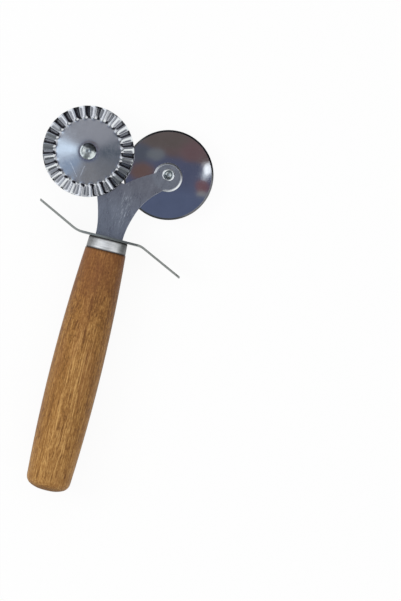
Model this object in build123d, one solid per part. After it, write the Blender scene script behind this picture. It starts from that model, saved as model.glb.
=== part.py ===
from build123d import *
from math import asin, cos, radians, sin, sqrt, tan
import os

# Double-wheel pastry and pizza cutter, in millimetres.
# The tool lies on its back. Y runs up the handle from the middle of its butt end, Z is the way that
# both wheel axes point, and the fluted wheel is on the upper side of the yoke.

# Handle of turned wood
handle_length = 120.7
swell_radius = 12.52
swell_place = 58.0
butt_side_radius = 10.75
butt_flat_radius = 2.0
butt_crown_rise = 3.1
butt_corner_radius = 5.0
handle_top_radius = 10.1
handle_top_round = 0.35

# Ferrule, a drawn steel cap on the neck of the handle
ferrule_height = 5.9
ferrule_base_radius = 9.9
ferrule_top_radius = 9.65
ferrule_wall = 0.6
ferrule_edge_round = 0.5
ferrule_lip_width = 3.2
ferrule_fit = 0.05

# Guard, a bent steel strip on top of the ferrule
guard_thickness = 1.1
guard_width = 22.0
guard_tip_width = 7.0
guard_left_flat = 12.95
guard_left_bend_radius = 12.0
guard_left_angle = 25.8
guard_left_arm = 21.25
guard_right_flat = 14.5
guard_right_bend_radius = 8.0
guard_right_angle = 25.2
guard_right_arm = 22.65

# Yoke, one steel plate with a tang, a neck, two arms and their eyes
plate_thickness = 1.5
neck_width = 13.6
crotch_height = 26.0
crotch_round = 3.0
arm_width = 9.4
arm_slope = 41.0
arm_crown = 0.6
eye_radius = 7.15
eye_drop = 1.2
eye_bevel_width = 1.1
eye_bevel_depth = 0.55
tang_width = 9.0
tang_tip_width = 6.0
tang_length = 46.0
tang_point = 4.0
tang_fit = 0.1

# Outer edge of an arm, as shares of the way across and up from the neck's corner to the eye
flare_shares = [(0.13, 0.37), (0.445, 0.72)]

# Places of the two wheel axes, from the yoke's shoulders and the handle's middle line
fluted_axis_out = 20.0
fluted_axis_up = 38.3
plain_axis_out = 20.8
plain_axis_up = 36.7

# Rivets, half hollow, with a domed head on one end and a rolled ring on the other
shank_radius = 2.0
head_radius = 4.0
head_height = 1.7
head_rim = 0.35
dimple_radius = 0.95
dimple_depth = 0.25
ring_radius = 3.0
ring_crest_radius = 2.6
ring_height = 0.75
ring_lip_radius = 2.15
ring_lip_height = 0.35
cup_radius = 1.45
cup_flare_depth = 0.7
cup_depth = 1.3
cup_point = 0.4
hole_fit = 0.05

# Running fits of both wheels, and the spacers that hold them off the yoke
bore_clearance = 0.06
side_play = 0.15
spacer_radius = 4.5
plain_spacer_height = 0.6

# Fluted wheel, pressed from sheet
fluted_radius = 22.4
fluted_sheet = 0.8
fluted_dish = 0.9
hub_flat_radius = 5.2
flute_count = 24
flute_start_radius = 16.0
flute_ramp = 1.4
flute_rise = 1.08
flute_drop = 0.4
flute_gap = 0.5

# Straight pieces from one valley to the next, and how nearly the wave between them is a zigzag
flute_facets = 8
flute_sharpness = 0.95

# Where the wheel stands at rest, as a share of the way from one flute to the next
flute_rest_turn = 0.25

# Plain wheel, a flat blade with a ground edge
plain_radius = 22.1
plain_sheet = 0.9
grind_width = 0.9
edge_land = 0.2

# How far a cut reaches past what it cuts, and how far two fused pieces share metal
overrun = 1.0

# Heights along the handle
ferrule_top = handle_length + ferrule_height
shoulder = ferrule_top + guard_thickness
tang_end = shoulder - tang_length

# Levels along Z, up from the middle of the yoke's plate
plate_face = plate_thickness / 2
flute_level = plate_face + flute_gap + flute_drop + flute_rise + fluted_sheet / 2
fluted_hub_low = flute_level + fluted_dish - fluted_sheet / 2
fluted_hub_high = fluted_hub_low + fluted_sheet
plain_high = -plate_face - plain_spacer_height - side_play
plain_low = plain_high - plain_sheet

# Places and fits that several pieces share
fluted_place = (-fluted_axis_out, shoulder + fluted_axis_up, 0)
plain_place = (plain_axis_out, shoulder + plain_axis_up, 0)
fixed_bore = shank_radius + hole_fit
wheel_bore = shank_radius + bore_clearance
flute_pitch = 360 / flute_count


def turned(points):
    """Revolves a closed outline of (radius, level) points about Z."""
    return revolve(Plane.XZ * make_face(Polyline(points, close=True)), axis=Axis.Z)


# Handle and ferrule
def tang_outline(grow):
    """The tang in plan, from the shoulders down to its point, wider by grow."""
    half = tang_width / 2 + grow
    tip = tang_tip_width / 2 + grow
    tip_top = tang_end + tang_point
    corners = [(-tip, tip_top), (0, tang_end - grow), (tip, tip_top)]
    return make_face(Polyline([(-half, shoulder), *corners, (half, shoulder)], close=True))


def tang_slot():
    """The room for the tang in the wood and the guard."""
    return extrude(tang_outline(tang_fit), amount=plate_face + tang_fit, both=True)


def make_handle():
    """Turned grip with a crowned butt, one long swell and a neck for the ferrule."""
    crown_run = butt_side_radius - butt_flat_radius
    crown_radius = (crown_run**2 + butt_crown_rise**2) / (2 * butt_crown_rise)
    neck_low = ferrule_base_radius - ferrule_wall - ferrule_fit
    neck_high = ferrule_top_radius - ferrule_wall - ferrule_fit
    neck_end = ferrule_top - ferrule_wall - ferrule_fit
    butt_corner = (butt_side_radius, butt_crown_rise)
    top_corner = (handle_top_radius, handle_length)
    with BuildSketch() as half:
        with BuildLine():
            Line((0, 0), (butt_flat_radius, 0))
            RadiusArc((butt_flat_radius, 0), butt_corner, -crown_radius)
            ThreePointArc(butt_corner, (swell_radius, swell_place), top_corner)
            Polyline(top_corner, (neck_low, handle_length), (neck_high, neck_end), (0, neck_end), (0, 0))
        make_face()
        fillet(half.vertices().sort_by_distance(butt_corner)[0], butt_corner_radius)
        fillet(half.vertices().sort_by_distance(top_corner)[0], handle_top_round)
    return revolve(half.sketch, axis=Axis.Y) - tang_slot()


def make_ferrule():
    """Tapered cap with a rounded shoulder, turned in over the end of the wood."""
    lip_radius = ferrule_top_radius - ferrule_lip_width
    inner_top = ferrule_top - ferrule_wall
    outline = [
        (ferrule_base_radius, handle_length),
        (ferrule_top_radius, ferrule_top),
        (lip_radius, ferrule_top),
        (lip_radius, inner_top),
        (ferrule_top_radius - ferrule_wall, inner_top),
        (ferrule_base_radius - ferrule_wall, handle_length),
    ]
    section = make_face(Polyline(outline, close=True))
    outer_corner = section.vertices().sort_by_distance((ferrule_top_radius, ferrule_top))[0]
    return revolve(fillet(outer_corner, ferrule_edge_round), axis=Axis.Y)


# Guard
def guard_edge(shift):
    """A long edge of the strip seen from the side, above its middle line by shift, tip to tip."""
    height = ferrule_top + guard_thickness / 2 + shift
    left = JernArc(
        (-guard_left_flat, height), (-1, 0), guard_left_bend_radius - shift, -guard_left_angle
    )
    right = JernArc(
        (guard_right_flat, height), (1, 0), guard_right_bend_radius + shift, -guard_right_angle
    )
    flat = Line(left @ 0, right @ 0)
    left_arm = Line(left @ 1, left @ 1 + guard_left_arm * (left % 1))
    right_arm = Line(right @ 1, right @ 1 + guard_right_arm * (right % 1))
    return [left_arm, left, flat, right, right_arm]


def guard_plan():
    """The strip seen along the handle: a full middle, and arms that narrow to round tips."""
    middle_line = guard_edge(0)
    tip = guard_tip_width / 2
    left_tip = (middle_line[0] @ 1).X + tip
    right_tip = (middle_line[-1] @ 1).X - tip
    middle = Pos((guard_right_flat - guard_left_flat) / 2) * Rectangle(
        guard_left_flat + guard_right_flat, guard_width
    )
    tips = [Pos(place) * Circle(tip) for place in (left_tip, right_tip)]
    return make_hull([*middle.edges(), *tips[0].edges(), *tips[1].edges()])


def make_guard():
    """Strip bent towards the wheels on the left and towards the hand on the right."""
    upper = guard_edge(guard_thickness / 2)
    lower = guard_edge(-guard_thickness / 2)
    ends = [Line(upper[place] @ 1, lower[place] @ 1) for place in (0, -1)]
    section = make_face([*upper, *lower, *ends])
    strip = extrude(section, amount=guard_width, both=True)
    plan = extrude(Plane.XZ * guard_plan(), amount=2 * ferrule_top, both=True)
    return (strip & plan) - tang_slot()


# Yoke
def arm_frame(axis_out, axis_up, side):
    """The middle of an arm's eye and the arm's own directions, along it and square to it."""
    slope = radians(arm_slope)
    eye = Vector(side * axis_out, shoulder + axis_up - eye_drop)
    along = Vector(side * cos(slope), sin(slope))
    across = Vector(-side * sin(slope), cos(slope))
    return eye, along, across


def make_arm(axis_out, axis_up, side):
    """Half of the neck and one arm, from the middle line to the middle of its eye."""
    eye, along, across = arm_frame(axis_out, axis_up, side)
    notch_back = sqrt(eye_radius**2 - (arm_width / 2) ** 2)
    low_end = eye - across * (arm_width / 2)
    high_end = eye + across * (arm_width / 2)
    low_notch = low_end - along * notch_back
    high_notch = high_end - along * notch_back
    corner = Vector(side * neck_width / 2, shoulder)
    crotch = Vector(0, shoulder + crotch_height)
    run = low_notch - corner
    flare = [corner + Vector(run.X * x_share, run.Y * y_share) for x_share, y_share in flare_shares]
    top_middle = (crotch + high_notch) / 2 + across * arm_crown
    outline = [
        Spline(corner, *flare, low_notch, tangents=[(0, 1), along]),
        Polyline(low_notch, low_end, high_end, high_notch),
        ThreePointArc(high_notch, top_middle, crotch),
        Polyline(crotch, (0, shoulder), corner),
    ]
    return extrude(make_face(outline), amount=plate_face, both=True)


def make_eye(axis_out, axis_up, side):
    """Round end of an arm, coined to a bevel on its upper rim."""
    eye = arm_frame(axis_out, axis_up, side)[0]
    outline = [
        (0, -plate_face),
        (eye_radius, -plate_face),
        (eye_radius, plate_face - eye_bevel_depth),
        (eye_radius - eye_bevel_width, plate_face),
        (0, plate_face),
    ]
    return Pos(eye) * turned(outline)


def make_yoke():
    """Tang, neck, two arms and their eyes, blanked from one plate."""
    arms = [(plain_axis_out, plain_axis_up, 1), (fluted_axis_out, fluted_axis_up, -1)]
    blank = Part() + [make_arm(*arm) for arm in arms]
    crotch = blank.edges().filter_by(Axis.Z).sort_by_distance((0, shoulder + crotch_height, 0))[0]
    blank = fillet(crotch, crotch_round)
    tang = extrude(tang_outline(0), amount=plate_face, both=True)
    holes = [
        Pos(place) * Cylinder(fixed_bore, plate_thickness + overrun)
        for place in (fluted_place, plain_place)
    ]
    return blank + tang + [make_eye(*arm) for arm in arms] - holes


# Rivets and spacers
def make_rivet(grip):
    """Half hollow rivet: its head seats at the origin, and its rolled ring seats at grip."""
    rise = head_height - head_rim
    dome_radius = (head_radius**2 + rise**2) / (2 * rise)

    def on_dome(radius):
        return (radius, -head_height + dome_radius - sqrt(dome_radius**2 - radius**2))

    dimple_edge = on_dome(dimple_radius)
    dimple_floor = (0, dimple_edge[1] + dimple_depth)
    rim_edge = (head_radius, -head_rim)
    ring_seat = (ring_radius, grip)
    ring_crest = (ring_crest_radius, grip + ring_height)
    ring_lip = (ring_lip_radius, grip + ring_lip_height)
    cup_wall = (cup_radius, grip - cup_flare_depth)
    cup_floor = grip - cup_depth
    cup_tip = (0, cup_floor - cup_point)
    outline = [
        TangentArc(dimple_floor, dimple_edge, tangent=(1, 0)),
        ThreePointArc(dimple_edge, on_dome((dimple_radius + head_radius) / 2), rim_edge),
        Polyline(rim_edge, (head_radius, 0), (shank_radius, 0), (shank_radius, grip), ring_seat),
        ThreePointArc(ring_seat, ring_crest, ring_lip),
        Polyline(ring_lip, cup_wall, (cup_radius, cup_floor), cup_tip, dimple_floor),
    ]
    return revolve(Plane.XZ * make_face(outline), axis=Axis.Z)


def make_fluted_rivet():
    """Head above the fluted wheel, ring below the yoke."""
    seat = fluted_hub_high + side_play
    return Pos(fluted_place) * Pos(0, 0, seat) * Rot(180, 0, 0) * make_rivet(seat + plate_face)


def make_plain_rivet():
    """Head below the plain wheel, ring on top of the yoke's eye."""
    seat = plain_low - side_play
    return Pos(plain_place) * Pos(0, 0, seat) * make_rivet(plate_face - seat)


def make_spacer(low, high):
    """Ring round a rivet's shank, between two levels."""
    return turned([(fixed_bore, low), (spacer_radius, low), (spacer_radius, high), (fixed_bore, high)])


def make_fluted_spacer():
    return Pos(fluted_place) * make_spacer(plate_face, fluted_hub_low - side_play)


def make_plain_spacer():
    return Pos(plain_place) * make_spacer(plain_high + side_play, -plate_face)


# Wheels
def flute_section(radius, rise, middle):
    """Section through one flute, square to its length: half a valley, a crest and half a valley."""
    pitch = 2 * radius * tan(radians(flute_pitch / 2))
    wave = []
    for step in range(flute_facets + 1):
        swing = -flute_sharpness * cos(radians(360 * step / flute_facets))
        height = middle + rise * asin(swing) / asin(flute_sharpness)
        wave.append((pitch * (step / flute_facets - 1 / 2), height))
    upper = [(radius, across, height + fluted_sheet / 2) for across, height in wave]
    lower = [(radius, across, height - fluted_sheet / 2) for across, height in wave]
    return Face(Wire.make_polygon([*upper, *reversed(lower)], close=True))


def make_flute():
    """One flute of the rim: flat at its root, a short ramp, then a fan that widens to the rim."""
    ramp_end = flute_start_radius + flute_ramp
    overrun_drop = flute_drop * (1 + overrun / (fluted_radius - ramp_end))
    sections = [
        flute_section(flute_start_radius - overrun, 0, 0),
        flute_section(flute_start_radius, 0, 0),
        flute_section(ramp_end, flute_rise * ramp_end / fluted_radius, 0),
        flute_section(fluted_radius + overrun, flute_rise * (1 + overrun / fluted_radius), -overrun_drop),
    ]
    return loft(sections, ruled=True)


def make_fluted_wheel():
    """Shallow cone with a flat hub, and a rim pressed into radial flutes."""
    half = fluted_sheet / 2
    cone_end = flute_start_radius - overrun
    lap = flute_start_radius - overrun / 2
    disc = turned(
        [
            (wheel_bore, fluted_dish - half),
            (hub_flat_radius, fluted_dish - half),
            (cone_end, -half),
            (lap, -half),
            (lap, half),
            (cone_end, half),
            (hub_flat_radius, fluted_dish + half),
            (wheel_bore, fluted_dish + half),
        ]
    )
    flute = make_flute()
    turns = [flute_pitch * (turn + flute_rest_turn) for turn in range(flute_count)]
    flutes = [Rot(0, 0, turn) * flute for turn in turns]
    tall = 2 * (flute_rise + flute_drop + fluted_sheet + overrun)
    rim = (Part() + flutes) & Cylinder(fluted_radius, tall)
    return Pos(fluted_place) * Pos(0, 0, flute_level) * (disc + rim)


def make_plain_wheel():
    """Flat disc, ground to a narrow edge from both faces."""
    middle = (plain_high + plain_low) / 2
    ground = plain_radius - grind_width
    blade = turned(
        [
            (wheel_bore, plain_low),
            (ground, plain_low),
            (plain_radius, middle - edge_land / 2),
            (plain_radius, middle + edge_land / 2),
            (ground, plain_high),
            (wheel_bore, plain_high),
        ]
    )
    return Pos(plain_place) * blade


nodes = {
    "handle": make_handle,
    "ferrule": make_ferrule,
    "guard": make_guard,
    "yoke": make_yoke,
    "fluted_wheel": make_fluted_wheel,
    "fluted_wheel_rivet": make_fluted_rivet,
    "fluted_wheel_spacer": make_fluted_spacer,
    "plain_wheel": make_plain_wheel,
    "plain_wheel_rivet": make_plain_rivet,
    "plain_wheel_spacer": make_plain_spacer,
}

os.makedirs("parts", exist_ok=True)
for name, make in nodes.items():
    export_step(make(), f"parts/{name}.step")
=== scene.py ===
import math

import bmesh
import bpy
from bpy.props import FloatProperty, FloatVectorProperty, IntProperty, PointerProperty
from mathutils import Matrix, Vector


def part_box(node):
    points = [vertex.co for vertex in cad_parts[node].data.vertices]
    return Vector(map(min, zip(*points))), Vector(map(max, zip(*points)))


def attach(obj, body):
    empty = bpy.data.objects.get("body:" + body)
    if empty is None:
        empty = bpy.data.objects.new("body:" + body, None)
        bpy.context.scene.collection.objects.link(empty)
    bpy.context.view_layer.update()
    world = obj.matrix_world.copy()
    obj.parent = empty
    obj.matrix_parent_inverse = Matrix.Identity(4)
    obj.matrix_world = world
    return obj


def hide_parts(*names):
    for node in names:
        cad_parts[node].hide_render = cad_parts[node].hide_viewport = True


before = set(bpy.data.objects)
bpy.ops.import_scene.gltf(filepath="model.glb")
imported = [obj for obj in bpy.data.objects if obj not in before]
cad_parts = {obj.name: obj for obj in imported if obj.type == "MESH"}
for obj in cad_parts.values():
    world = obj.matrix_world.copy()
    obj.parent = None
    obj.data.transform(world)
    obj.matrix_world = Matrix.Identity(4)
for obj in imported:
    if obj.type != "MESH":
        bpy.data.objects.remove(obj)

bl_info = {
    "name": "Double-wheel pastry cutter",
    "version": (1, 0, 0),
    "blender": (4, 5, 0),
    "location": "3D View > Sidebar > Cutter",
    "description": "Finishes a wood-handled cutter with a fluted wheel and a plain wheel",
    "category": "Object",
}

MM = 0.001
TURN = math.tau
UP = Vector((0, 0, 1))
ALONG = Vector((0, 1, 0))

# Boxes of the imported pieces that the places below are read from
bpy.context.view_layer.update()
HANDLE_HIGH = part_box("handle")[1]
FERRULE_LOW, FERRULE_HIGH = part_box("ferrule")
YOKE_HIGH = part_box("yoke")[1]
FLUTED_LOW, FLUTED_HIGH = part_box("fluted_wheel")
PLAIN_LOW, PLAIN_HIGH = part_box("plain_wheel")
FLUTED_HEAD_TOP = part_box("fluted_wheel_rivet")[1].z
PLAIN_HEAD_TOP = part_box("plain_wheel_rivet")[0].z
FLUTED_CENTRE = (FLUTED_LOW + FLUTED_HIGH) / 2
PLAIN_CENTRE = (PLAIN_LOW + PLAIN_HIGH) / 2
FLUTED_RADIUS = (FLUTED_HIGH.x - FLUTED_LOW.x) / 2
PLAIN_RADIUS = (PLAIN_HIGH.x - PLAIN_LOW.x) / 2

# The photograph looks straight down on the tool, turned about the line of sight
PICTURE_TURN = math.radians(14.05)
PICTURE_RIGHT = Vector((math.cos(PICTURE_TURN), math.sin(PICTURE_TURN), 0))
PICTURE_UP = Vector((-math.sin(PICTURE_TURN), math.cos(PICTURE_TURN), 0))
PICTURE_MIDDLE = Vector((50.97 * MM, 108.5 * MM, 0))
PICTURE_HEIGHT = 294.5 * MM


class CutterSizes(bpy.types.PropertyGroup):
    """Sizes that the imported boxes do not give."""

    edge_round: FloatProperty(
        name="Edge round", description="Rounding of the yoke's and guard's edges",
        default=0.4 * MM, unit="LENGTH",
    )
    bore: FloatProperty(
        name="Wheel bore", description="Radius of the hole in each wheel",
        default=2.06 * MM, unit="LENGTH",
    )
    sheet: FloatProperty(
        name="Fluted sheet", description="Thickness of the fluted wheel's sheet",
        default=0.8 * MM, unit="LENGTH",
    )
    flutes: IntProperty(name="Flutes", description="Number of flutes in the rim", default=24)
    hub_flat: FloatProperty(
        name="Hub flat", description="Radius of the fluted wheel's flat hub",
        default=5.2 * MM, unit="LENGTH",
    )
    hub_rise: FloatProperty(
        name="Hub rise", description="Height of the hub over the foot of the flutes",
        default=0.9 * MM, unit="LENGTH",
    )
    flute_start: FloatProperty(
        name="Flute start", description="Radius at which the flutes begin",
        default=16.0 * MM, unit="LENGTH",
    )
    flute_rise: FloatProperty(
        name="Flute rise", description="Height of a crest over the middle of the sheet, at the rim",
        default=1.08 * MM, unit="LENGTH",
    )
    flute_drop: FloatProperty(
        name="Flute drop",
        description="Fall of the sheet's middle from the flutes' start to the rim",
        default=0.4 * MM, unit="LENGTH",
    )
    crown: FloatProperty(
        name="Crown", description="Fall of the plain wheel's face from its middle to its rim",
        default=0.28 * MM, unit="LENGTH",
    )
    grind: FloatProperty(
        name="Grind", description="Width of the plain wheel's ground edge",
        default=0.9 * MM, unit="LENGTH",
    )
    land: FloatProperty(
        name="Cutting edge", description="Thickness of the plain wheel's cutting edge",
        default=0.2 * MM, unit="LENGTH",
    )
    head_radius: FloatProperty(
        name="Rivet head radius", description="Radius of each rivet's domed head",
        default=4.0 * MM, unit="LENGTH",
    )
    head_height: FloatProperty(
        name="Rivet head height", description="Height of each rivet's domed head",
        default=1.7 * MM, unit="LENGTH",
    )


class CutterColours(bpy.types.PropertyGroup):
    """Colours of the wood and the metals, as linear values."""

    wood_dark: FloatVectorProperty(
        name="Dark grain", description="Late wood and dark streaks", subtype="COLOR",
        default=(0.14, 0.055, 0.014), min=0, max=1,
    )
    wood_middle: FloatVectorProperty(
        name="Middle grain", description="Most of the wood", subtype="COLOR",
        default=(0.30, 0.142, 0.036), min=0, max=1,
    )
    wood_light: FloatVectorProperty(
        name="Light grain", description="Golden streaks", subtype="COLOR",
        default=(0.52, 0.295, 0.10), min=0, max=1,
    )
    wood_red: FloatVectorProperty(
        name="Red patches", description="Reddish parts of the wood", subtype="COLOR",
        default=(0.215, 0.082, 0.028), min=0, max=1,
    )
    bright_steel: FloatVectorProperty(
        name="Bright steel", description="Rivets and ferrule", subtype="COLOR",
        default=(0.72, 0.735, 0.75), min=0, max=1,
    )
    wheel_steel: FloatVectorProperty(
        name="Wheel steel", description="Both wheels", subtype="COLOR",
        default=(0.56, 0.57, 0.60), min=0, max=1,
    )
    guard_steel: FloatVectorProperty(
        name="Guard steel", description="Guard", subtype="COLOR",
        default=(0.27, 0.285, 0.275), min=0, max=1,
    )
    plate_steel: FloatVectorProperty(
        name="Plate steel", description="Yoke", subtype="COLOR",
        default=(0.345, 0.365, 0.42), min=0, max=1,
    )


# Shader maths
class Value:
    """An output of a node, on which Python's operators add Math nodes."""

    def __init__(self, recipe, socket):
        self.recipe = recipe
        self.socket = socket

    def __add__(self, other):
        return self.recipe.maths("ADD", self, other)

    __radd__ = __add__

    def __sub__(self, other):
        return self.recipe.maths("SUBTRACT", self, other)

    def __rsub__(self, other):
        return self.recipe.maths("SUBTRACT", other, self)

    def __mul__(self, other):
        return self.recipe.maths("MULTIPLY", self, other)

    __rmul__ = __mul__

    def __truediv__(self, other):
        return self.recipe.maths("DIVIDE", self, other)

    def __pow__(self, other):
        return self.recipe.maths("POWER", self, other)

    def __abs__(self):
        return self.recipe.maths("ABSOLUTE", self)


class Recipe:
    """The node tree of one finish, or of the world."""

    def __init__(self, owner):
        owner.use_nodes = True
        self.tree = owner.node_tree
        self.tree.nodes.clear()

    def node(self, kind, settings=None, inputs=None, output=0):
        """Adds a node, sets it, gives its inputs numbers or links, and returns one output."""
        made = self.tree.nodes.new("ShaderNode" + kind)
        for name, setting in (settings or {}).items():
            if name == "stops":
                self.set_stops(made.color_ramp, setting)
            else:
                setattr(made, name, setting)
        for name, value in (inputs or {}).items():
            if isinstance(value, Value):
                self.tree.links.new(value.socket, made.inputs[name])
            else:
                made.inputs[name].default_value = value
        return Value(self, made.outputs[output]) if made.outputs else made

    @staticmethod
    def set_stops(ramp, stops):
        """Gives a colour ramp its stops, which are pairs of a place and a colour."""
        while len(ramp.elements) < len(stops):
            ramp.elements.new(1.0)
        for element, (place, colour) in zip(ramp.elements, stops):
            element.position = place
            element.color = (*colour, 1)

    def maths(self, operation, *terms):
        """The number that a Math node gives."""
        return self.node("Math", {"operation": operation}, dict(enumerate(terms)))

    def vector(self, operation, *terms, output=0):
        """The vector, or another output, that a Vector Math node gives."""
        return self.node("VectorMath", {"operation": operation}, dict(enumerate(terms)), output)

    def scaled(self, colour, shade):
        """A colour made darker or lighter by a number that changes over the surface."""
        colour = colour if isinstance(colour, Value) else tuple(colour)
        return self.node("VectorMath", {"operation": "SCALE"}, {0: colour, "Scale": shade})

    def mix(self, share, low, high):
        """A colour between low and high."""
        ends = [end if isinstance(end, Value) else (*end, 1) for end in (low, high)]
        return self.node("Mix", {"data_type": "RGBA"}, {0: share, 6: ends[0], 7: ends[1]}, 2)

    def step(self, value, low, high):
        """0 below low, 1 above high and a smooth rise between them; low may be above high."""
        inputs = {"Value": value, "From Min": low, "From Max": high}
        return self.node("MapRange", {"interpolation_type": "SMOOTHSTEP"}, inputs)

    def parts(self, vector):
        """The x, y and z of a vector."""
        return [self.node("SeparateXYZ", {}, {0: vector}, side) for side in "XYZ"]

    def noise(self, vector, cell, detail=2.0, roughness=0.5):
        """Smooth noise whose cells have this size in metres, all ways or along x, y and z."""
        sizes = (cell, cell, cell) if isinstance(cell, float) else cell
        cells = self.vector("DIVIDE", vector, sizes)
        inputs = {"Vector": cells, "Scale": 1.0, "Detail": detail, "Roughness": roughness}
        return self.node("TexNoise", {}, inputs)

    def about(self, vector, centre):
        """Distance from an upright axis through centre, and the turn about it."""
        place = self.vector("SUBTRACT", vector, tuple(centre))
        flat = self.vector("MULTIPLY", place, (1, 1, 0))
        x, y, _ = self.parts(place)
        return self.vector("LENGTH", flat, output="Value"), self.maths("ARCTAN2", y, x)

    def surface(self, colour, roughness, height, depth, metal, shine=0.5):
        """Wires a bumped surface of this colour and roughness to the output."""
        normal = self.node("Bump", {}, {"Height": height, "Distance": depth})
        inputs = {
            "Base Color": colour, "Roughness": roughness, "Normal": normal,
            "Metallic": metal, "Specular IOR Level": shine,
        }
        self.node("OutputMaterial", {}, {"Surface": self.node("BsdfPrincipled", {}, inputs)})


def new_finish(name):
    """A new material, its recipe and the place on the object."""
    material = bpy.data.materials.new(name)
    recipe = Recipe(material)
    return material, recipe, recipe.node("TexCoord", {}, {}, "Object")


# Finishes
def sway(noise, reach):
    """Noise from 0 to 1 made to swing about 0, over this reach."""
    return (noise - 0.5) * reach


def shaded(colour, *factors):
    """A colour times one factor, or its red, green and blue times one each, up to 1."""
    factors = factors * 3 if len(factors) == 1 else factors
    return [min(1, part * factor) for part, factor in zip(colour, factors)]


def handle_wood(colours):
    """Turned hardwood: faint nested rings, streaks, fibres, pores and oiled end grain."""
    material, r, place = new_finish("handle_wood")
    x, y, z = r.parts(place)

    # Parts of the handle that differ in colour, from its butt to its ferrule
    butt = r.step(y, 0.0036, 0.0002)
    foot = r.step(y, 0.030, 0.012)
    lower = r.step(y, 0.115, 0.06)
    golden = lower * r.step(abs(x - 0.001), 0.0085, 0.002) * r.step(abs(y - 0.050), 0.050, 0.02)
    neck = r.step(y, 0.08, 0.118)
    # Painted shade and dirt darken the wood where it meets the ferrule
    joint_dirt_and_shade = r.step(y, FERRULE_LOW.y - 0.0012, FERRULE_LOW.y - 0.0001)

    # Rings about a heart that runs below the handle and rises towards the neck
    heart_x, heart_z = -0.004, -0.022
    lean_x, lean_z = 0.05, 0.10
    ring_pitch = 0.003
    wander = 0.010
    aside = x - heart_x - y * lean_x
    above = z - heart_z - y * lean_z
    uneven = r.noise(place, (0.012, 0.05, 0.012), detail=3.0)
    distance = (aside * aside + above * above) ** 0.5 + uneven * wander
    ring = r.maths("FRACT", distance / ring_pitch)
    late = r.step(ring, 0.45, 0.95) * r.step(ring, 1.0, 0.95)

    # Grain, from broad bands down to fibres, mottle, pale lines and dark pores
    patches = r.step(r.noise(place, (0.008, 0.05, 0.008), detail=1.0), 0.48, 0.66)
    broad = r.noise(place, (0.006, 0.08, 0.006))
    streak = r.noise(place, (0.0007, 0.05, 0.0007), detail=3.0, roughness=0.65)
    fibre = r.noise(place, (0.0005, 0.005, 0.0005), detail=2.0, roughness=0.7)
    mottle = r.noise(place, (0.0009, 0.0015, 0.0009), detail=2.0, roughness=0.7)
    pale = r.step(r.noise(place, (0.00065, 0.03, 0.00065), detail=1.0), 0.54, 0.66)
    pores = r.step(r.noise(place, (0.0004, 0.0026, 0.0004), detail=1.0), 0.60, 0.72)

    # Tone, which the ramp below turns into dark, middle and light grain
    tone = 0.31 + sway(broad, 0.4) + sway(streak, 0.95) + sway(fibre, 1.3) - late * 0.08
    tone = tone + sway(mottle, 1.3 - lower * 0.7) + pale * (0.06 + golden * 0.40)
    tone = tone + lower * 0.12 + golden * 0.07 + foot * 0.11 - neck * 0.05
    stops = [(0.1, colours.wood_dark), (0.46, colours.wood_middle), (0.9, colours.wood_light)]
    base = r.node("ValToRGB", {"stops": stops}, {0: tone})
    base = r.mix(patches * 0.25 + neck * 0.5, base, colours.wood_red)
    base = r.mix(pores * 0.5, base, shaded(colours.wood_dark, 0.5))
    # The end grain at the butt is darker, and the joint gets its painted shade and dirt
    base = r.mix(butt * 0.55 + joint_dirt_and_shade * 0.85, base, shaded(colours.wood_dark, 0.55))
    height = fibre * 0.5 + streak * 0.4 - pores * 0.6 - late * 0.2
    roughness = 0.5 + sway(fibre, 0.22) + pores * 0.15 + butt * 0.2
    r.surface(base, roughness, height, depth=0.00007, metal=0.0, shine=0.2)
    return material


def steel_surface(r, tint, grain, clouds, marks, roughness, depth):
    """Shades steel from three masks: the lie of its grain, soft clouds, and light marks in it."""
    steel = r.scaled(tint, 1.0 + sway(grain, 0.24) + sway(clouds, 0.2))
    colour = r.mix(marks, steel, shaded(tint, 1.6))
    rough = roughness + sway(grain, 0.18) + sway(clouds, 0.12) + marks * 0.1
    r.surface(colour, rough, grain - marks * 0.5, depth=depth, metal=1.0)


def brushed_steel(name, tint, roughness, cell):
    """Steel whose grain has cells of the given size in metres along x, y and z."""
    material, r, place = new_finish(name)
    grain = r.noise(place, cell, detail=3.0, roughness=0.7)
    clouds = r.noise(place, 0.006)
    scratches = r.noise(place, [size * 1.7 for size in cell], detail=1.0)
    marks = r.step(scratches, 0.64, 0.74) * 0.3
    steel_surface(r, tint, grain, clouds, marks, roughness, depth=0.00001)
    return material


def spun_lines(r, distance, turn, **fineness):
    """Fine rings about a wheel's axis, each of a few long strokes."""
    line = 0.0003
    strokes_a_radian = 0.7
    rings = r.node("CombineXYZ", {}, {0: distance, 1: turn * line * strokes_a_radian})
    return r.noise(rings, line, **fineness)


def ferrule_steel(tint):
    """Drawn cap brushed round, with painted shade on its flanks and painted shadow in the seams at
    both its ends.
    """
    material, r, place = new_finish("ferrule_steel")
    x, y, _ = r.parts(place)
    grain = r.noise(place, (0.008, 0.00028, 0.008), detail=2.0, roughness=0.6)
    wave = r.noise(place, (0.0016, 0.006, 0.0016), detail=2.0)
    clouds = r.noise(place, (0.003, 0.0012, 0.003))
    # The seams at both ends get painted shadow, where the wood and the guard meet the cap
    lower_seam = r.step(y, FERRULE_LOW.y + 0.0009, FERRULE_LOW.y + 0.0002)
    upper_seam = r.step(y, FERRULE_HIGH.y - 0.0013, FERRULE_HIGH.y - 0.0004)
    seam_shadow = r.maths("MAXIMUM", lower_seam, upper_seam)
    shadow_colour = (0.05, 0.045, 0.045)
    # The flanks are darkened with painted shade
    flank = abs(x + sway(wave, 0.003)) / FERRULE_HIGH.x
    flank_shade = r.step(flank, 0.36, 0.84)
    shade = (0.98 + sway(grain, 0.9) + sway(clouds, 0.6)) * (1.0 - flank_shade * 0.72)
    colour = r.mix(seam_shadow * 0.9, r.scaled(tint, shade), shadow_colour)
    rough = 0.46 + sway(grain, 0.2) + seam_shadow * 0.2
    r.surface(colour, rough, grain - seam_shadow * 0.5, depth=0.00006, metal=0.55)
    return material


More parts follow.
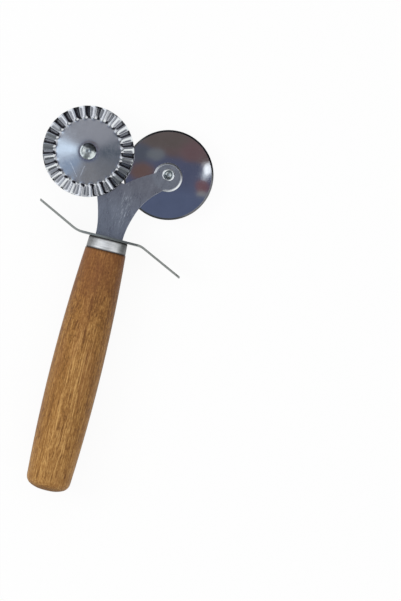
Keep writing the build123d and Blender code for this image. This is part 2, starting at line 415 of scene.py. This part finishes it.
def rivet_steel(name, tint, highlight_level):
    """Plated rivet: a peened head painted greyer as shade, and a ring painted bright past its level
    as a highlight.
    """
    material, r, place = new_finish(name)
    _, _, z = r.parts(place)
    ring = r.step(z, highlight_level - math.copysign(0.0001, highlight_level), highlight_level)
    peened = r.noise(place, 0.0011, detail=2.0)
    fine = r.noise(place, 0.0003, detail=2.0)
    # The head's tint is painted darker as shade, and the ring's lighter as a highlight
    tone = r.mix(ring, shaded(tint, 0.76, 0.8, 0.792), shaded(tint, 1.32))
    colour = r.scaled(tone, 1.0 + sway(peened, 0.4) + sway(fine, 0.3))
    rough = 0.2 + sway(fine, 0.15) - ring * 0.06
    r.surface(colour, rough, peened + fine * 0.2, depth=0.00005, metal=1.0)
    return material


def mirror_steel(tint, centre, grind):
    """Blade polished to a mirror, with faint hairlines, and a duller ground edge painted dark as
    shade.
    """
    material, r, place = new_finish("mirror_steel")
    distance, turn = r.about(place, centre)
    grain = spun_lines(r, distance, turn, detail=2.0)
    clouds = r.noise(place, 0.007, detail=3.0)
    hairlines = r.noise(place, (0.00022, 0.008, 0.01), detail=1.0)
    marks = r.step(hairlines, 0.72, 0.78) * 0.07
    ground_from = PLAIN_RADIUS - grind
    ground = r.step(distance, ground_from - 0.0001, ground_from + 0.0001)
    # The ground edge is painted darker as shade, besides being rougher
    shade = 1.0 + sway(clouds, 0.2) - ground * 0.76 + sway(grain, ground) * 0.3
    colour = r.mix(marks, r.scaled(tint, shade), (0.9, 0.92, 0.95))
    rough = 0.025 + clouds * 0.03 + ground * 0.2 + marks * 0.3
    r.surface(colour, rough, clouds * 2.0 + ground * grain * 0.3, depth=0.000002, metal=1.0)
    return material


def yoke_steel(tint):
    """Blanked plate: satin faces rubbed lengthwise, a scratched neck and a painted highlight on its
    rounded edges.
    """
    material, r, place = new_finish("yoke_steel")
    x, y, z = r.parts(place)
    grain = r.noise(place, (0.0008, 0.004, 0.0006), detail=3.0, roughness=0.7)
    clouds = r.noise(place, (0.004, 0.009, 0.004), detail=3.0, roughness=0.6)
    speck = r.noise(place, (0.0006, 0.0009, 0.0006), detail=2.0, roughness=0.7)
    leaning = r.node("CombineXYZ", {}, {0: x - y * 0.16, 1: y, 2: z})
    scratches = r.noise(leaning, (0.00034, 0.0034, 0.001), detail=2.0, roughness=0.6)

    # Scratches crowd on the neck, and the rounded edges are painted bright as a highlight
    neck = r.step(abs(x - 0.0035), 0.0065, 0.001) * r.step(abs(y - 0.143), 0.012, 0.004)
    more = neck * 0.07
    marks = r.step(scratches, 0.63 - more, 0.74 - more) * (0.25 + neck * 0.55)
    edge_highlight = r.step(abs(z), YOKE_HIGH.z - 0.00001, YOKE_HIGH.z - 0.00006)
    marks = r.maths("MAXIMUM", marks, edge_highlight * 0.75)

    # The arms are painted darker and warmer than the neck as a reflection, and the right eye is
    # painted paler as a highlight
    arms_painted_reflection = r.step(y, 0.138, 0.158)
    distance, _ = r.about(place, PLAIN_CENTRE)
    eye_highlight = r.step(distance, 0.0088, 0.0070)
    base = r.mix(arms_painted_reflection, tuple(tint), shaded(tint, 0.97, 0.91, 0.87))
    base = r.mix(eye_highlight, base, shaded(tint, 1.08, 1.05, 1.0))
    shade = 1.0 + sway(grain, 0.3) + sway(clouds, 0.5) + sway(speck, 0.5)
    colour = r.mix(marks, r.scaled(base, shade), (0.85, 0.87, 0.9))
    rough = 0.30 + sway(grain, 0.12) + sway(clouds, 0.15) + marks * 0.1
    r.surface(colour, rough, speck * 0.4 - marks * 0.5, depth=0.000004, metal=1.0)
    return material


def fluted_steel(tint, centre, flute_start):
    """Pressed sheet: a disc spun dull, clouded and scratched, and brighter flutes."""
    material, r, place = new_finish("fluted_steel")
    distance, turn = r.about(place, centre)
    grain = spun_lines(r, distance, turn, detail=3.0, roughness=0.6)
    clouds = r.noise(place, 0.005, detail=4.0, roughness=0.6)
    speck = r.noise(place, 0.0007, detail=2.0, roughness=0.7)
    hairlines = r.noise(place, (0.00018, 0.012, 0.01), detail=1.0)
    marks = r.step(hairlines, 0.69, 0.75) * 0.3

    # Two worn strokes below the hub, each given by its place across and its lean
    x, y, _ = r.parts(r.vector("SUBTRACT", place, tuple(centre)))
    pivot, middle = -0.009, -0.0105
    for across, lean in ((-0.0058, -0.75), (-0.0002, 0.18)):
        beside = abs(x - across - (y - pivot) * lean + sway(speck, 0.0008))
        stroke = r.step(beside, 0.00036, 0.00012) * r.step(abs(y - middle), 0.0036, 0.0026)
        marks = r.maths("MAXIMUM", marks, stroke * r.step(speck, 0.38, 0.52) * 0.7)

    disc = r.step(distance, flute_start + 0.0004, flute_start)
    spun = 0.5 + sway(grain, 0.6) + sway(speck, disc) * 0.9
    steel_surface(r, tint, spun, clouds, marks * disc, roughness=0.15, depth=0.000004)
    return material


# Modelling
def begin():
    """Leaves nothing selected, so that an operator acts on the next primitive alone."""
    bpy.ops.object.select_all(action="DESELECT")


def settle(name):
    """Names the new primitive and moves its place into its mesh."""
    piece = bpy.context.object
    piece.name = name
    piece.data.name = name
    bpy.ops.object.transform_apply(location=True, rotation=True, scale=True)
    return piece


def pick(piece, test):
    """Selects the vertices whose places pass a test, and the edges and faces between them."""
    shape = bmesh.from_edit_mesh(piece.data)
    for part in (*shape.faces, *shape.edges, *shape.verts):
        part.select_set(False)
    for vertex in shape.verts:
        if test(vertex.co):
            vertex.select_set(True)
    shape.select_flush(True)
    bmesh.update_edit_mesh(piece.data)


def add_modifier(piece, kind, **settings):
    """Adds a modifier to the active piece, sets it and applies it."""
    modifier = piece.modifiers.new(kind.title(), kind)
    for name, setting in settings.items():
        setattr(modifier, name, setting)
    bpy.ops.object.modifier_apply(modifier=modifier.name)


def smooth(angle=38):
    """Shades the active piece smooth, all but its edges sharper than this many degrees."""
    bpy.ops.object.shade_smooth_by_angle(angle=math.radians(angle))


def soften(piece, width, angle, segments=3):
    """Rounds the edges sharper than angle, and shades smooth while the flat faces stay flat."""
    add_modifier(
        piece, "BEVEL", width=width, segments=segments, limit_method="ANGLE",
        angle_limit=math.radians(angle),
    )
    smooth()
    add_modifier(piece, "WEIGHTED_NORMAL", keep_sharp=True, weight=100)


def dress(piece, material, body, slot, *nodes):
    """Gives a finished piece its material and its body, and hides the nodes that it stands for;
    slot is not used.
    """
    piece.data.materials.clear()
    piece.data.materials.append(material)
    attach(piece, body)
    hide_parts(*nodes)


def turned(name, outline, centre, axis, steps):
    """Draws a half section of (radius, level) points and spins it about an axis through centre."""
    out = Vector((1, 0, 0))
    points = [centre + out * radius + axis * level for radius, level in outline]
    begin()
    bpy.ops.mesh.primitive_plane_add(size=MM, location=points[0])
    piece = settle(name)
    bpy.ops.object.mode_set(mode="EDIT")
    bpy.ops.mesh.select_mode(type="VERT")
    bpy.ops.mesh.select_all(action="SELECT")
    bpy.ops.mesh.merge(type="CENTER")
    for start, end in zip(points, points[1:]):
        bpy.ops.mesh.extrude_vertices_move(TRANSFORM_OT_translate={"value": end - start})
    bpy.ops.mesh.select_all(action="SELECT")
    bpy.ops.mesh.spin(steps=steps, angle=TURN, center=centre, axis=axis)
    bpy.ops.mesh.select_all(action="SELECT")
    bpy.ops.mesh.remove_doubles(threshold=0.002 * MM)
    bpy.ops.mesh.normals_make_consistent(inside=False)
    bpy.ops.object.mode_set(mode="OBJECT")
    return piece


def copy_of(node, name):
    """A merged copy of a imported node, with its flat faces made whole."""
    begin()
    piece = bpy.data.objects.new(name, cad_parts[node].data.copy())
    piece.data.name = name
    bpy.context.scene.collection.objects.link(piece)
    piece.select_set(True)
    bpy.context.view_layer.objects.active = piece
    bpy.ops.mesh.customdata_custom_splitnormals_clear()
    bpy.ops.object.mode_set(mode="EDIT")
    bpy.ops.mesh.select_all(action="SELECT")
    bpy.ops.mesh.remove_doubles(threshold=0.001 * MM)
    bpy.ops.mesh.dissolve_limited(angle_limit=math.radians(0.4))
    bpy.ops.object.mode_set(mode="OBJECT")
    return piece


def arc(start, middle, end, count):
    """Points of the arc through three (radius, level) points, with start and end."""
    (ax, ay), (bx, by), (cx, cy) = start, middle, end
    twice = 2 * (ax * (by - cy) + bx * (cy - ay) + cx * (ay - by))
    a, b, c = (x * x + y * y for x, y in (start, middle, end))
    ox = (a * (by - cy) + b * (cy - ay) + c * (ay - by)) / twice
    oy = (a * (cx - bx) + b * (ax - cx) + c * (bx - ax)) / twice
    first, through, last = (math.atan2(y - oy, x - ox) for x, y in (start, middle, end))
    sweep = (last - first) % TURN
    if (through - first) % TURN > sweep:
        sweep -= TURN
    radius = math.hypot(ax - ox, ay - oy)
    angles = [first + sweep * step / count for step in range(count + 1)]
    return [(ox + radius * math.cos(angle), oy + radius * math.sin(angle)) for angle in angles]


# Operators
class CUTTER_OT_handle(bpy.types.Operator):
    """Gives the turned handle its oiled wood"""

    bl_idname = "cutter.handle"
    bl_label = "Handle"

    def execute(self, context):
        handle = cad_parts["handle"]
        handle.material_slots[0].material = handle_wood(context.scene.cutter_colours)
        return {"FINISHED"}


class CUTTER_OT_ferrule(bpy.types.Operator):
    """Turns the steel ferrule, with a rounded shoulder and a rolled lower edge"""

    bl_idname = "cutter.ferrule"
    bl_label = "Ferrule"

    def execute(self, context):
        taper = 0.25 * MM
        wall = 0.6 * MM
        shoulder = 0.7 * MM
        roll = 0.28 * MM
        lip_width = 3.2 * MM
        height = FERRULE_HIGH.y - FERRULE_LOW.y
        base = FERRULE_HIGH.x
        top = base - taper
        lip = top - lip_width
        inset = shoulder * (1 - math.sqrt(0.5))
        corner = (top - inset, height - inset)
        outline = [(base - roll, 0.0), (base - roll * 0.3, roll * 0.3), (base, roll)]
        outline += arc((top, height - shoulder), corner, (top - shoulder, height), 6)
        outline += [
            (lip, height), (lip, height - wall), (top - shoulder, height - wall),
            (top - wall, height - shoulder), (base - wall, 0.0), (base - roll, 0.0),
        ]
        ferrule = turned("ferrule_cap", outline, Vector((0, FERRULE_LOW.y, 0)), ALONG, steps=96)
        smooth()
        finish = ferrule_steel(context.scene.cutter_colours.bright_steel)
        dress(ferrule, finish, "grip", "ferrule_steel", "ferrule")
        return {"FINISHED"}


class CUTTER_OT_guard(bpy.types.Operator):
    """Rounds the edges of the bent guard strip"""

    bl_idname = "cutter.guard"
    bl_label = "Guard"

    def execute(self, context):
        guard = copy_of("guard", "guard_strip")
        soften(guard, context.scene.cutter_sizes.edge_round, angle=40)
        tint = context.scene.cutter_colours.guard_steel
        cell = (0.006, 0.0004, 0.0004)
        finish = brushed_steel("guard_steel", tint, roughness=0.34, cell=cell)
        dress(guard, finish, "grip", "guard_steel", "guard")
        return {"FINISHED"}


class CUTTER_OT_yoke(bpy.types.Operator):
    """Rolls the edges of the forked plate"""

    bl_idname = "cutter.yoke"
    bl_label = "Yoke"

    def execute(self, context):
        yoke = copy_of("yoke", "yoke_plate")
        soften(yoke, context.scene.cutter_sizes.edge_round, angle=50)
        finish = yoke_steel(context.scene.cutter_colours.plate_steel)
        dress(yoke, finish, "grip", "yoke_steel", "yoke")
        return {"FINISHED"}


class CUTTER_OT_rivets(bpy.types.Operator):
    """Turns both half hollow rivets, and softens the spacers on their shanks"""

    bl_idname = "cutter.rivets"
    bl_label = "Rivets and spacers"

    def outline(self, sizes, grip):
        """Half section of a rivet whose head tops out at level 0 and whose ring seats at grip."""
        radius = sizes.head_radius
        height = sizes.head_height
        rim = 0.35 * MM
        dimple = 0.95 * MM
        dimple_depth = 0.14 * MM
        shank = 2.0 * MM
        ring = 3.0 * MM
        ring_height = 0.75 * MM
        ring_foot = (ring - 0.15 * MM, grip)
        ring_side = (ring, grip + 0.2 * MM)
        ring_lip = (2.15 * MM, grip + 0.4 * MM)
        cup = 1.45 * MM
        cup_mouth = 0.6 * MM
        cup_floor = 1.2 * MM
        cup_tip = 1.7 * MM
        rise = height - rim
        dome = (radius**2 + rise**2) / (2 * rise)

        def on_dome(place):
            return (place, dome - math.sqrt(dome**2 - place**2))

        dimple_edge = on_dome(dimple)
        floor = (0.0, dimple_edge[1] + dimple_depth)
        head = arc((-dimple, dimple_edge[1]), floor, dimple_edge, 8)[4:]
        head += [on_dome(dimple + (radius - dimple) * step / 12) for step in range(1, 13)]
        shoulder = [(radius, height), (shank, height), (shank, grip), ring_foot]
        crest = ((ring + ring_lip[0]) / 2, grip + ring_height)
        bead = arc(ring_side, crest, ring_lip, 12)
        hollow = [(cup, grip - cup_mouth), (cup, grip - cup_floor), (0.0, grip - cup_tip)]
        return head + shoulder + bead + hollow

    def execute(self, context):
        sizes = context.scene.cutter_sizes
        tint = context.scene.cutter_colours.bright_steel
        # Name, node, middle, level of the head's top, and 1 or -1 as the shank runs up or down
        rivets = [
            ("fluted_rivet", "fluted_wheel_rivet", FLUTED_CENTRE, FLUTED_HEAD_TOP, -1),
            ("plain_rivet", "plain_wheel_rivet", PLAIN_CENTRE, PLAIN_HEAD_TOP, 1),
        ]
        for name, node, centre, head_top, way in rivets:
            finish = rivet_steel(f"{name}_steel", tint, way * (YOKE_HIGH.z + 0.1 * MM))
            top = Vector((centre.x, centre.y, head_top))
            grip = abs(way * YOKE_HIGH.z - head_top)
            rivet = turned(name, self.outline(sizes, grip), top, UP * way, steps=64)
            smooth()
            dress(rivet, finish, "grip", "rivet_steel", node)
        cell = (0.0004, 0.0004, 0.0002)
        finish = brushed_steel("spacer_steel", tint, roughness=0.3, cell=cell)
        for wheel in ("fluted", "plain"):
            node = f"{wheel}_wheel_spacer"
            spacer = copy_of(node, f"{wheel}_spacer")
            soften(spacer, width=0.08 * MM, angle=50, segments=2)
            dress(spacer, finish, "grip", "rivet_steel", node)
        return {"FINISHED"}


class CUTTER_OT_fluted_wheel(bpy.types.Operator):
    """Presses the fluted wheel: a flat hub, a shallow cone and a rim of rounded flutes"""

    bl_idname = "cutter.fluted_wheel"
    bl_label = "Fluted wheel"

    # Vertices from one crest to the next, how nearly the wave between them is a zigzag, and by how
    # many vertices the first crest stands to the left of straight ahead
    wave_steps = 12
    sharpness = 0.95
    rest_steps = 3
    # Shares of the ramp's length, and of the flutes' height that they have there
    ramp_out = (0.35, 0.75, 1.0)
    ramp_high = (0.35, 0.85, 1.0)

    def execute(self, context):
        sizes = context.scene.cutter_sizes
        level = FLUTED_HIGH.z - sizes.hub_rise - sizes.sheet / 2
        centre = Vector((FLUTED_CENTRE.x, FLUTED_CENTRE.y, level))
        begin()
        bpy.ops.mesh.primitive_circle_add(
            vertices=sizes.flutes * self.wave_steps, radius=sizes.bore, location=centre
        )
        wheel = settle("fluted_wheel_disc")
        bpy.ops.object.mode_set(mode="EDIT")
        bpy.ops.mesh.select_mode(type="VERT")
        bpy.ops.mesh.select_all(action="SELECT")
        bpy.ops.transform.translate(value=(0, 0, sizes.hub_rise))
        self.here = (sizes.bore, sizes.hub_rise)
        # The flat hub, a soft bend and the cone
        cone = sizes.flute_start - sizes.hub_flat
        bend = 0.4 * MM
        self.ring_out(centre, sizes.hub_flat - bend, sizes.hub_rise)
        self.ring_out(centre, sizes.hub_flat + bend, sizes.hub_rise * (1 - bend / cone))
        for share in (0.5, 0.9, 1.0):
            self.ring_out(centre, sizes.hub_flat + cone * share, sizes.hub_rise * (1 - share))
        # The ramp on which the flutes rise, and the flutes, which fan out to the rim
        ramp = 1.3 * MM
        root = sizes.flute_start + ramp
        rise = sizes.flute_rise * root / FLUTED_RADIUS
        radii = [sizes.flute_start + ramp * share for share in self.ramp_out]
        self.ring_out(centre, radii[0], 0.0)
        self.wave(wheel, centre, rise * self.ramp_high[0])
        for radius, before, after in zip(radii[1:], self.ramp_high, self.ramp_high[1:]):
            self.grow_out(centre, radius, after / before, 0.0)
        for share in (0.33, 0.67, 1.0):
            radius = root + (FLUTED_RADIUS - root) * share
            self.grow_out(centre, radius, radius / self.here[0], -sizes.flute_drop * share)
        bpy.ops.mesh.select_all(action="SELECT")
        bpy.ops.mesh.normals_make_consistent(inside=False)
        bpy.ops.object.mode_set(mode="OBJECT")
        # The sheet's thickness, and the roundness of its edges
        add_modifier(wheel, "SOLIDIFY", thickness=sizes.sheet, offset=0.0, use_even_offset=True)
        add_modifier(
            wheel, "BEVEL", width=0.1 * MM, segments=1, limit_method="ANGLE",
            angle_limit=math.radians(70),
        )
        add_modifier(wheel, "SUBSURF", levels=1, render_levels=1)
        smooth(angle=50)
        tint = context.scene.cutter_colours.wheel_steel
        finish = fluted_steel(tint, FLUTED_CENTRE, sizes.flute_start)
        dress(wheel, finish, "fluted_wheel", "fluted_steel", "fluted_wheel")
        return {"FINISHED"}

    def ring_out(self, centre, radius, rise):
        """Extrudes the outer edge to a new radius and height over the foot of the flutes."""
        ratio = radius / self.here[0]
        bpy.ops.mesh.extrude_region_move()
        bpy.ops.transform.resize(value=(ratio, ratio, 1), center_override=centre)
        bpy.ops.transform.translate(value=(0, 0, rise - self.here[1]))
        self.here = (radius, rise)

    def grow_out(self, centre, radius, growth, fall):
        """Extrudes the fluted edge to a new radius and height, its flutes so many times as high."""
        ratio = radius / self.here[0]
        middle = centre + UP * self.here[1]
        bpy.ops.mesh.extrude_region_move()
        bpy.ops.transform.resize(value=(ratio, ratio, growth), center_override=middle)
        bpy.ops.transform.translate(value=(0, 0, fall - self.here[1]))
        self.here = (radius, fall)

    def wave(self, wheel, centre, rise):
        """Lifts and sinks the outer edge into one wave for each flute."""
        pitch = TURN / (self.wave_steps * bpy.context.scene.cutter_sizes.flutes)
        radius = self.here[0]

        def on_edge(place):
            return abs(math.hypot(place.x - centre.x, place.y - centre.y) - radius) < 0.02 * MM

        def step_of(place):
            turned_by = math.atan2(place.x - centre.x, place.y - centre.y)
            return (round(turned_by / pitch) + self.rest_steps) % self.wave_steps

        for step in range(self.wave_steps):
            swing = self.sharpness * math.cos(TURN * step / self.wave_steps)
            share = math.asin(swing) / math.asin(self.sharpness)
            pick(wheel, lambda place: on_edge(place) and step_of(place) == step)
            bpy.ops.transform.translate(value=(0, 0, rise * share))
        pick(wheel, on_edge)


class CUTTER_OT_plain_wheel(bpy.types.Operator):
    """Turns the plain wheel, faintly crowned and ground to its edge from both sides"""

    bl_idname = "cutter.plain_wheel"
    bl_label = "Plain wheel"

    def execute(self, context):
        sizes = context.scene.cutter_sizes
        thick = PLAIN_HIGH.z - PLAIN_LOW.z
        ground = PLAIN_RADIUS - sizes.grind

        def face(radius):
            return -sizes.crown * (radius / ground) ** 2

        stations = [sizes.bore + (ground - sizes.bore) * step / 10 for step in range(11)]
        upper = [(radius, face(radius)) for radius in stations]
        middle = face(PLAIN_RADIUS) - thick / 2
        edge = [(PLAIN_RADIUS, middle + sizes.land / 2), (PLAIN_RADIUS, middle - sizes.land / 2)]
        lower = [(radius, level - thick) for radius, level in reversed(upper)]
        outline = [*upper, *edge, *lower, upper[0]]
        centre = Vector((PLAIN_CENTRE.x, PLAIN_CENTRE.y, PLAIN_HIGH.z))
        wheel = turned("plain_wheel_blade", outline, centre, UP, steps=160)
        smooth(angle=6)
        tint = context.scene.cutter_colours.wheel_steel
        finish = mirror_steel(tint, PLAIN_CENTRE, sizes.grind)
        dress(wheel, finish, "plain_wheel", "mirror_steel", "plain_wheel")
        return {"FINISHED"}


class CUTTER_OT_stage(bpy.types.Operator):
    """Lays the pale floor under the tool, and sets the camera, the lamps and the studio"""

    bl_idname = "cutter.stage"
    bl_label = "Stage"

    # Slope at which the tool lies, on the belly of its handle and the edge of its guard
    lie = math.radians(1.46)
    camera_distance = 1.8
    # How far the floor's white takes the place of its shaded colour where it is seen
    floor_white = 0.93
    # Even light from the sides and from straight above
    side_light = (0.42, 0.42, 0.42)
    top_light = (1.32, 1.32, 1.32)
    white = (1.0, 1.0, 1.0)
    # Where the camera's view of each wheel's middle goes off its flat face, and over what spread
    fluted_view = (0.031, 0.041)
    plain_view = (0.009, 0.034)
    plain_spread = 0.067

    def execute(self, context):
        self.lay_floor()
        self.set_camera(context)
        self.light()
        self.studio(context)
        context.scene.view_settings.view_transform = "Standard"
        return {"FINISHED"}

    def lay_floor(self):
        """Slopes the floor under the tool, which lies at a slope to its own frame."""
        slope = math.tan(self.lie)
        heights = [
            vertex.co.z - slope * vertex.co.y
            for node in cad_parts.values()
            for vertex in node.data.vertices
        ]
        begin()
        bpy.ops.mesh.primitive_plane_add(
            size=6, location=(0, 0, min(heights)), rotation=(self.lie, 0, 0)
        )
        floor = bpy.context.object
        floor.name = "pale_floor"
        material = bpy.data.materials.new("pale_floor")
        r = Recipe(material)
        seen = r.node("LightPath", {}, {}, "Is Camera Ray")
        for ray in ("Is Glossy Ray", "Is Transmission Ray"):
            seen = r.maths("MAXIMUM", seen, r.node("LightPath", {}, {}, ray))
        matt = r.node("BsdfDiffuse", {}, {"Color": (0.8, 0.8, 0.8, 1)})
        white = r.node("Emission", {}, {"Color": (*self.white, 1), "Strength": 1.0})
        mixed = r.node("MixShader", {}, {0: seen * self.floor_white, 1: matt, 2: white})
        r.node("OutputMaterial", {}, {"Surface": mixed})
        floor.data.materials.append(material)

    def set_camera(self, context):
        """A long lens straight above, which takes in the picture's height at the tool."""
        data = bpy.data.cameras.new("camera")
        data.sensor_width = 36
        data.lens = data.sensor_width * self.camera_distance / PICTURE_HEIGHT
        data.clip_end = 10
        camera = bpy.data.objects.new("camera", data)
        context.scene.collection.objects.link(camera)
        turn = Matrix((PICTURE_RIGHT, PICTURE_UP, UP)).transposed().to_4x4()
        camera.matrix_world = Matrix.Translation(PICTURE_MIDDLE + UP * self.camera_distance) @ turn
        context.scene.camera = camera

    def light(self):
        """Two soft lamps, which the polished metal does not mirror."""
        middle = Vector((0, HANDLE_HIGH.y * 0.8, 0))
        # Name, way from the tool, width in metres and power in watts
        lamps = [
            ("left_lamp", -PICTURE_RIGHT * 0.7 + PICTURE_UP * 0.15 + UP * 0.7, 0.5, 3.2),
            ("right_lamp", PICTURE_RIGHT * 0.6 - PICTURE_UP * 0.5 + UP * 0.8, 0.6, 0.5),
        ]
        for name, way, size, power in lamps:
            bpy.ops.object.light_add(type="AREA", location=middle + way)
            lamp = bpy.context.object
            lamp.name = name
            lamp.rotation_euler = way.to_track_quat("Z", "Y").to_euler()
            lamp.data.size = size
            lamp.data.energy = power
            lamp.visible_glossy = False

    def studio(self, context):
        """White for the camera, even light for matt surfaces, and a room for polished ones."""
        world = bpy.data.worlds.new("studio")
        context.scene.world = world
        r = Recipe(world)
        way = r.node("TexCoord", {}, {}, "Generated")
        _, _, height = r.parts(way)
        across = r.vector("DOT_PRODUCT", way, tuple(PICTURE_RIGHT), output="Value")
        upward = r.vector("DOT_PRODUCT", way, tuple(PICTURE_UP), output="Value")
        patches = r.noise(way, (0.11, 0.11, 1.0))
        room = self.far_room(r, across, upward, patches)
        room = self.mirror_view(r, room, across, upward, patches)
        room = r.mix(r.step(height, 0.0, -0.05), room, self.white)
        ambient = r.mix(height * height, self.side_light, self.top_light)
        colour = r.mix(r.node("LightPath", {}, {}, "Is Glossy Ray"), ambient, room)
        colour = r.mix(r.node("LightPath", {}, {}, "Is Camera Ray"), colour, self.white)
        background = r.node("Background", {}, {"Color": colour, "Strength": 1.0})
        r.node("OutputWorld", {}, {"Surface": background})

    def far_room(self, r, across, upward, patches):
        """The room from overhead to the horizon, in rings and in cards that stand in them."""
        across = across + self.fluted_view[0]
        upward = upward - self.fluted_view[1]
        off = (across * across + upward * upward) ** 0.5
        bearing = r.maths("ARCTAN2", upward, across) * math.degrees(1)

        def sector(centre, half, soft, start, end):
            turned_by = abs(r.maths("WRAP", bearing - centre, 180.0, -180.0))
            return r.step(turned_by, half + soft, half) * r.step(off, *start) * r.step(off, *end)

        # Where the middle ring and the outer one begin, and an end that lies past the horizon
        middle = (0.1, 0.16)
        outer = (0.24, 0.34)
        no_end = (1.2, 1.1)
        room = r.mix(r.step(off, 0.1, 0.17), (0.24, 0.27, 0.34), (0.44, 0.45, 0.49))
        room = r.mix(r.step(off, *outer), room, (0.72, 0.74, 0.76))
        # Bearing from the picture's right, half width and soft edge in degrees, how far off the
        # zenith each card fades in and out, as sines, and its colour
        cards = [
            (-20, 30, 20, middle, outer[::-1], (0.12, 0.15, 0.19)),
            (2, 42, 22, outer, (0.95, 0.9), (0.12, 0.15, 0.19)),
            (-52, 20, 20, middle, outer[::-1], (0.24, 0.25, 0.27)),
            (-92, 16, 16, middle, outer[::-1], (0.30, 0.30, 0.31)),
            (-92, 26, 14, outer, (0.9, 0.8), (0.26, 0.27, 0.29)),
            (217, 12, 14, middle, outer[::-1], (0.40, 0.52, 0.70)),
            (173, 11, 11, (0.06, 0.15), outer[::-1], (1.3, 1.55, 1.8)),
            (58, 62, 8, (0.34, 0.5), no_end, (0.05, 0.053, 0.062)),
            (62, 68, 6, (0.78, 0.88), no_end, (0.006, 0.006, 0.009)),
            (-58, 29, 4, (0.86, 0.94), no_end, (1.45, 1.5, 1.46)),
            (-117, 18, 6, (0.34, 0.5), no_end, (0.24, 0.26, 0.265)),
            (180, 40, 14, (0.66, 0.82), no_end, (1.4, 1.45, 1.5)),
            (172, 13, 10, (0.4, 0.5), (0.85, 0.7), (1.3, 1.3, 1.3)),
            (-45, 20, 10, (0.5, 0.62), (0.97, 0.92), (1.2, 1.2, 1.2)),
            (-14, 9, 6, (0.4, 0.5), (0.88, 0.8), (1.3, 1.3, 1.3)),
            (150, 60, 10, (0.74, 0.78), (0.88, 0.84), (0.14, 0.15, 0.18)),
        ]
        for centre, half, soft, start, end, colour in cards:
            room = r.mix(sector(centre, half, soft, start, end), room, colour)
        return r.scaled(room, 0.8 + patches * 0.4)

    def mirror_view(self, r, room, across, upward, patches):
        """What the plain wheel shows, laid out from -1 to 1 over its width and height."""
        x = (across + self.plain_view[0]) / self.plain_spread
        y = (upward - self.plain_view[1]) / self.plain_spread
        near = r.step(x * x + y * y, 2.2, 1.5)
        ripple = sway(patches, 0.5)
        slant = y + x * 0.3 + ripple

        def spot(place, size, soft):
            side = (x - place[0]) / size[0]
            rise = (y - place[1]) / size[1]
            return r.step(side * side + rise * rise + ripple, 1 + soft, 1 - soft)

        # Dark blue, paler at the bottom, and brown above a slanting line
        view = r.mix(r.step(y + ripple, -0.1, -0.5), (0.115, 0.13, 0.21), (0.132, 0.163, 0.265))
        view = r.mix(r.step(slant, 0.38, 0.52), view, (0.178, 0.13, 0.128))
        # Middle, half width and half height, softness of the edge, and colour
        spots = [
            ((-0.1, 0.8), (0.55, 0.2), 0.6, (0.165, 0.135, 0.125)),
            ((0.55, 0.50), (0.26, 0.2), 0.7, (0.205, 0.13, 0.137)),
            ((-0.68, 0.48), (0.3, 0.2), 0.7, (0.12, 0.135, 0.17)),
            ((-0.27, 0.46), (0.2, 0.13), 0.7, (0.22, 0.24, 0.26)),
            ((-0.58, 0.08), (0.28, 0.2), 0.6, (0.20, 0.125, 0.11)),
            ((0.75, -0.26), (0.14, 0.17), 0.6, (0.25, 0.125, 0.135)),
            ((0.74, -0.42), (0.11, 0.06), 0.6, (0.36, 0.36, 0.36)),
            ((0.81, -0.02), (0.07, 0.10), 0.3, (0.75, 0.82, 0.9)),
            ((0.86, 0.13), (0.07, 0.13), 0.3, (2.0, 2.1, 2.15)),
        ]
        for place, size, soft, colour in spots:
            view = r.mix(spot(place, size, soft), view, colour)
        return r.mix(near, room, view)


class CUTTER_PT_panel(bpy.types.Panel):
    """Lists the cutter's sizes, colours and steps"""

    bl_idname = "CUTTER_PT_panel"
    bl_label = "Pastry cutter"
    bl_space_type = "VIEW_3D"
    bl_region_type = "UI"
    bl_category = "Cutter"

    def draw(self, context):
        for group in (context.scene.cutter_sizes, context.scene.cutter_colours):
            for name in group.__annotations__:
                self.layout.prop(group, name)
        for step in STEPS:
            self.layout.operator(step.bl_idname)


STEPS = [
    CUTTER_OT_handle, CUTTER_OT_ferrule, CUTTER_OT_guard, CUTTER_OT_yoke, CUTTER_OT_rivets,
    CUTTER_OT_fluted_wheel, CUTTER_OT_plain_wheel, CUTTER_OT_stage,
]
CLASSES = [CutterSizes, CutterColours, *STEPS, CUTTER_PT_panel]


def register():
    for kind in CLASSES:
        bpy.utils.register_class(kind)
    bpy.types.Scene.cutter_sizes = PointerProperty(type=CutterSizes)
    bpy.types.Scene.cutter_colours = PointerProperty(type=CutterColours)


def unregister():
    del bpy.types.Scene.cutter_colours
    del bpy.types.Scene.cutter_sizes
    for kind in reversed(CLASSES):
        bpy.utils.unregister_class(kind)


def main():
    register()
    for step in STEPS:
        getattr(bpy.ops.cutter, step.bl_idname.split(".")[1])()


if __name__ == "__main__":
    main()
